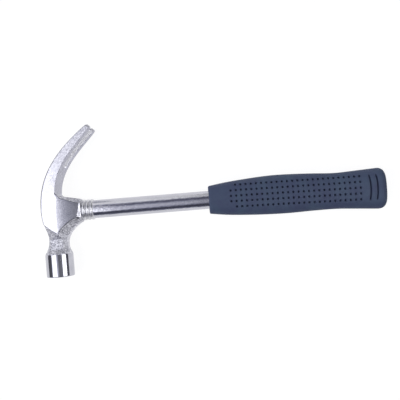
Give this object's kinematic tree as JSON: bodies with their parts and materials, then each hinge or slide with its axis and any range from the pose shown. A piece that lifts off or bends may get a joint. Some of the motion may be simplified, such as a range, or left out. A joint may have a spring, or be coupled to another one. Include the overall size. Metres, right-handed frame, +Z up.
{
  "type": "claw hammer",
  "caption": "Curved claw hammer with a plated forged steel head, a tubular steel shaft with rolled beads and a dimpled moulded grip with a flared butt.",
  "frame": {"origin": "middle of the bounding box at the level of the surface the hammer lies on, on its side", "axes": "+X along the shaft from the head towards the butt, +Y from the striking face towards the claw, +Z up, across the hammer's thickness"},
  "size_m": [0.3258, 0.1399, 0.026],
  "materials": {
    "plated_forging": "plated over a forged surface, satin, polished on the poll and the cheeks",
    "plated_tube": "bright plated with a faint drawn texture",
    "wedge_steel": "machined and plated",
    "hardwood": "raw turned dowel",
    "grip_rubber": "matte moulded slate blue",
    "plug_plastic": "moulded black"
  },
  "bodies": {
    "root": {"head": "plated_forging", "shaft_tube": "plated_tube", "eye_wedge": "wedge_steel", "core_dowel": "hardwood", "grip": "grip_rubber", "butt_plug": "plug_plastic"}
  },
  "joints": []
}
